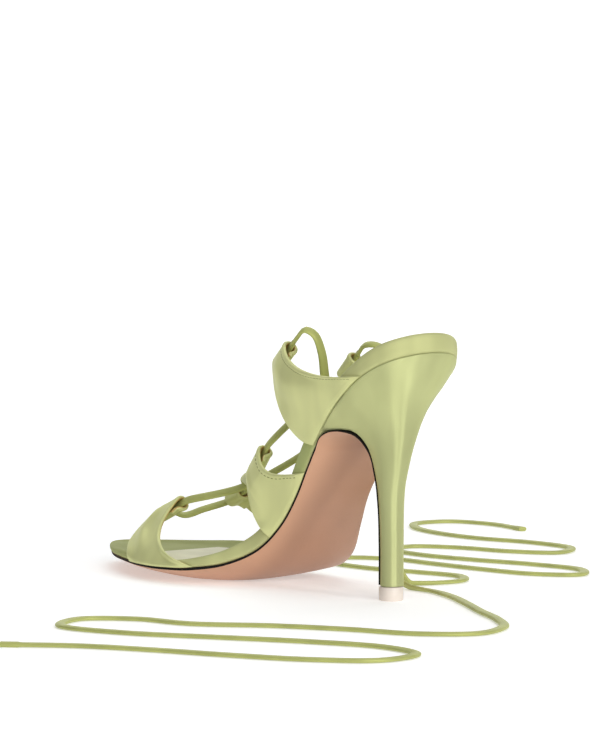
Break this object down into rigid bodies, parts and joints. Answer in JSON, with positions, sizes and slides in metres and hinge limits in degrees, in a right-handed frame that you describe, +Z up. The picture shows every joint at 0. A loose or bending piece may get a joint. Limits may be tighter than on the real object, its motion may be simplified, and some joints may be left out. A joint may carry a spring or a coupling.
{
  "type": "high heel sandal",
  "caption": "Right-foot stiletto sandal with an open toe and open back, satin wings laced over the foot, a wrapped footbed, a leather sole and long free ties laid on the floor",
  "frame": {"origin": "on the floor, under the middle of the shoe's length and width without the ties", "axes": "+Y to the toe, +X to the lateral side (the wearer's right), +Z up"},
  "size_m": [0.4546, 0.4165, 0.1137],
  "materials": {
    "satin": "pale green satin",
    "sole_leather": "smooth tan leather",
    "lift_rubber": "pale rubber"
  },
  "bodies": {
    "root": {"outsole": "sole_leather", "footbed": "satin", "heel": "satin", "top_lift": "lift_rubber", "wing_toe_medial": "satin", "wing_toe_lateral": "satin", "wing_mid_medial": "satin", "wing_mid_lateral": "satin", "wing_rear_medial": "satin", "wing_rear_lateral": "satin", "lace": "satin", "tie_medial": "satin", "tie_lateral": "satin"}
  },
  "joints": []
}
